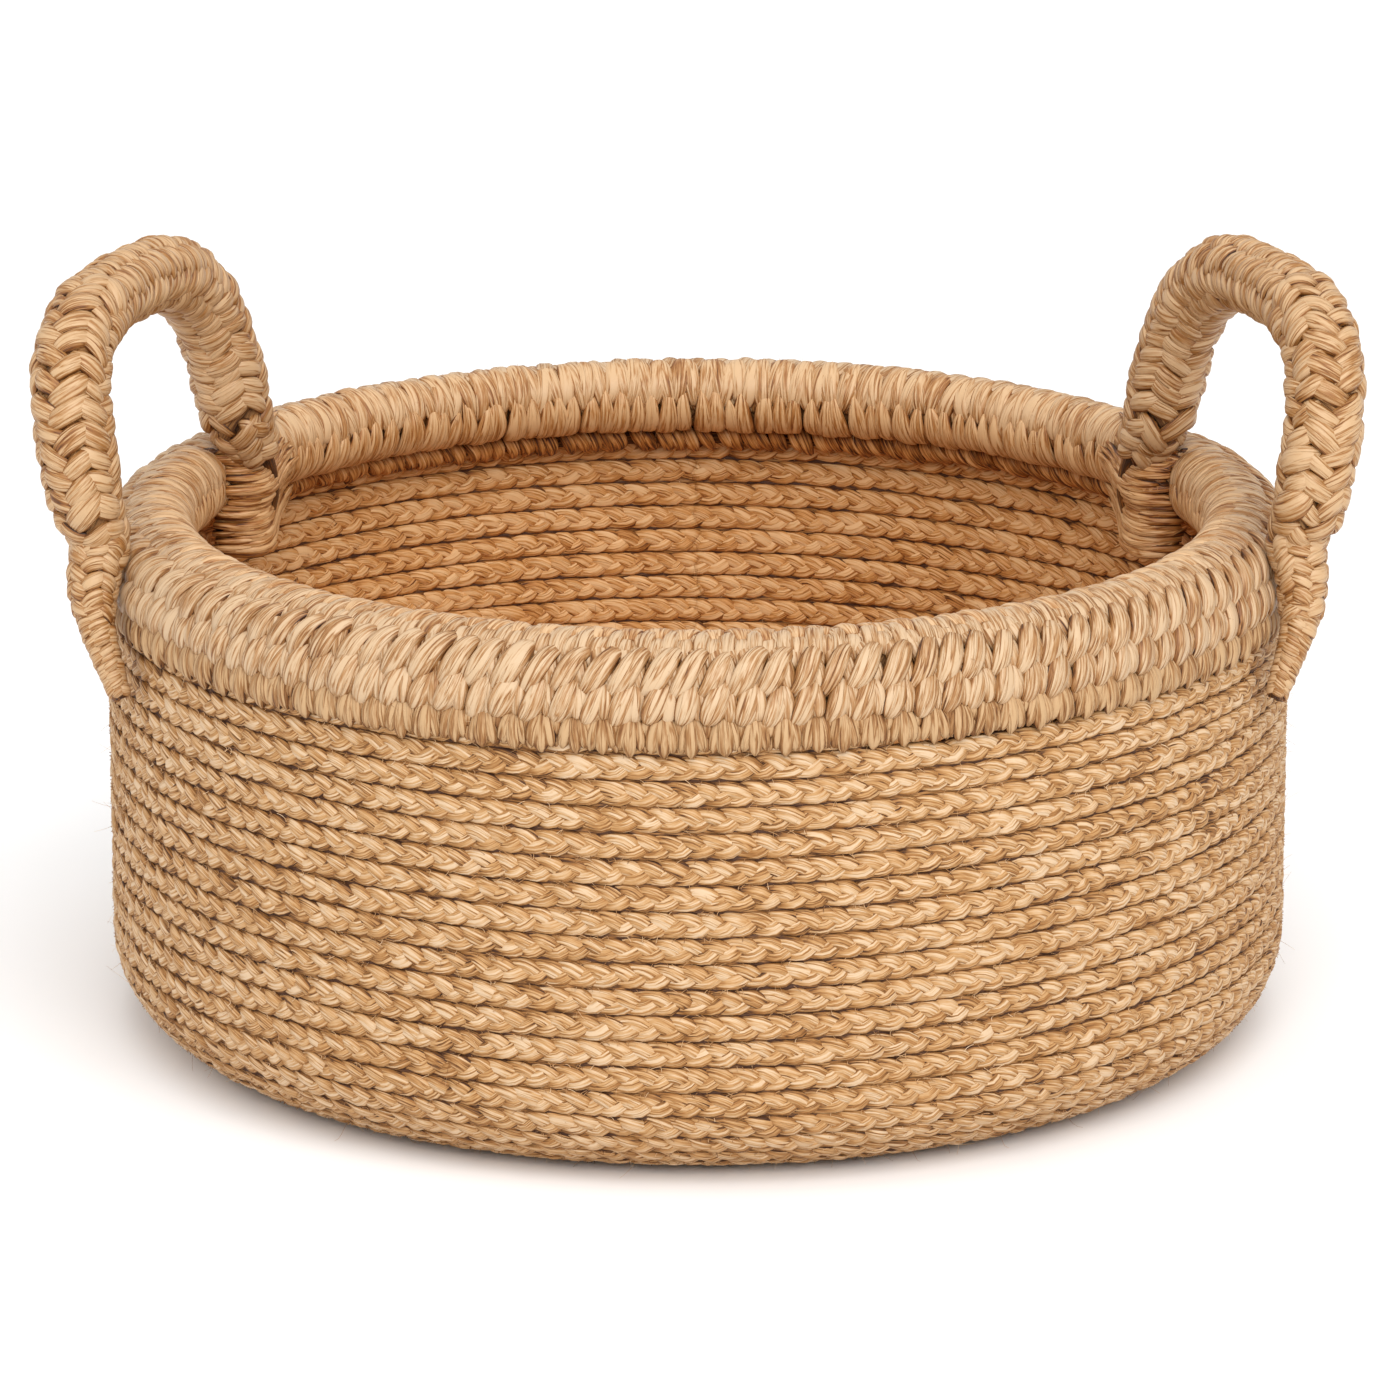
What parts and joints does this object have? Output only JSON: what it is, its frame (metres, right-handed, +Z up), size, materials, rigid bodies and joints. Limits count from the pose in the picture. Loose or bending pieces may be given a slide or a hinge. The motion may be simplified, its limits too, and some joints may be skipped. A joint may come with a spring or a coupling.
{
  "type": "storage basket",
  "caption": "Round open storage basket coiled from flat jute plait, with a stitched rope rim, a knotted collar and a soft rope loop handle on each side.",
  "frame": {"origin": "centre of the base's underside, on the floor", "axes": "+Z up; +X towards the right handle; -Y towards the side where the handles' outer feet are sewn"},
  "size_m": [0.4568, 0.425, 0.2775],
  "materials": {
    "plait": "matt natural jute plait, fibrous",
    "stitched_jute": "matt chain-stitched jute strand, slightly lighter",
    "knot_cord": "matt thin jute cord",
    "raw_jute": "matt loose jute bundle"
  },
  "bodies": {
    "basket": {"base_coil": "plait", "corner_course_01": "plait", "corner_course_02": "plait", "corner_course_03": "plait", "corner_course_04": "plait", "corner_course_05": "plait", "corner_course_06": "plait", "wall_course_01": "plait", "wall_course_02": "plait", "wall_course_03": "plait", "wall_course_04": "plait", "wall_course_05": "plait", "wall_course_06": "plait", "wall_course_07": "plait", "wall_course_08": "plait", "wall_course_09": "plait", "wall_course_10": "plait", "wall_course_11": "plait", "wall_course_12": "plait", "wall_course_13": "plait", "collar_row": "knot_cord", "rim_cover": "stitched_jute", "rim_rope": "raw_jute", "left_handle_front_foot": "stitched_jute", "left_handle_front_whipping": "knot_cord", "left_handle_back_foot": "stitched_jute", "left_handle_back_whipping": "knot_cord", "right_handle_front_foot": "stitched_jute", "right_handle_front_whipping": "knot_cord", "right_handle_back_foot": "stitched_jute", "right_handle_back_whipping": "knot_cord"},
    "left_handle": {"left_handle_cover": "stitched_jute", "left_handle_rope": "raw_jute"},
    "right_handle": {"right_handle_cover": "stitched_jute", "right_handle_rope": "raw_jute"}
  },
  "joints": [
    {"name": "left_handle_tilt", "type": "hinge", "parent": "basket", "child": "left_handle", "pos_m": [-0.18372, -0.00085, 0.19], "axis": [-0.3339, -0.9426, 0], "range_deg": [-35, 25], "stiffness_Nm_per_rad": 1.2},
    {"name": "right_handle_tilt", "type": "hinge", "parent": "basket", "child": "right_handle", "pos_m": [0.18372, -0.00085, 0.19], "axis": [-0.3339, 0.9426, 0], "range_deg": [-35, 25], "stiffness_Nm_per_rad": 1.2}
  ]
}
